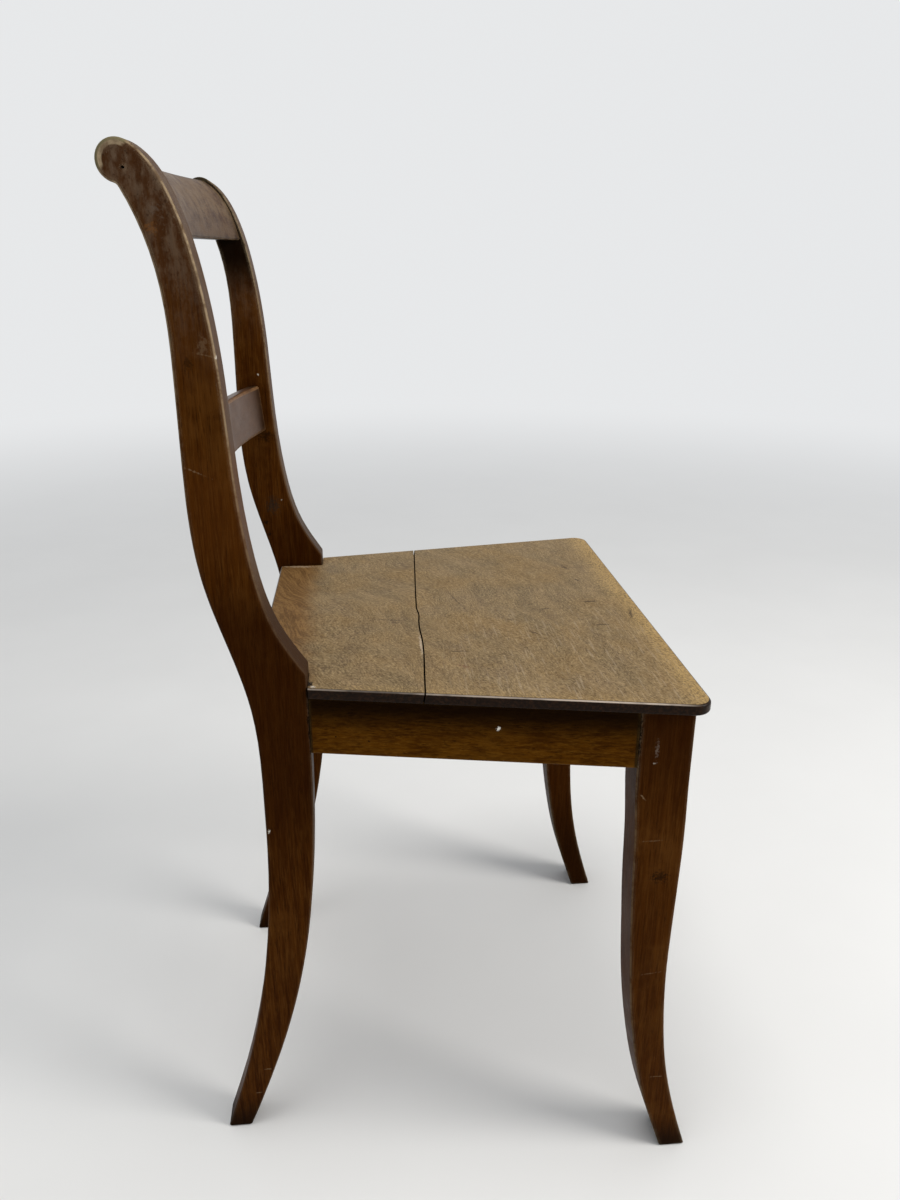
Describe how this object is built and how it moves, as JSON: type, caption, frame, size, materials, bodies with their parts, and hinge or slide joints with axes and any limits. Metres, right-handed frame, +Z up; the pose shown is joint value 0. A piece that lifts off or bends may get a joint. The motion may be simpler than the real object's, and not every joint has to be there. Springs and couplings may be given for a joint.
{
  "type": "biedermeier chair",
  "caption": "Armless wooden side chair with scrolled sabre rear posts, curved front legs, a bowed crest, a cross rail and a split plank seat on a joined frame.",
  "frame": {"origin": "on the floor, under the middle of the chair's overall box", "axes": "+Z up, -Y towards the front of the seat, +X towards the sitter's left"},
  "size_m": [0.4414, 0.4585, 0.8546],
  "materials": {
    "frame_wood": "satin",
    "seat_wood": "worn satin",
    "block_wood": "bare, matte",
    "screw_steel": "dull"
  },
  "bodies": {
    "root": {"rear_post_right": "frame_wood", "rear_post_left": "frame_wood", "front_leg_right": "frame_wood", "front_leg_left": "frame_wood", "side_rail_right": "frame_wood", "side_rail_left": "frame_wood", "front_rail": "frame_wood", "rear_rail": "frame_wood", "cross_rail": "frame_wood", "crest_rail": "frame_wood", "seat_board_front": "seat_wood", "seat_board_rear": "seat_wood", "corner_block_front_right": "block_wood", "corner_block_front_left": "block_wood", "corner_block_rear_right": "block_wood", "corner_block_rear_left": "block_wood", "seat_rub_blocks": "block_wood", "seat_screws": "screw_steel"}
  },
  "joints": []
}
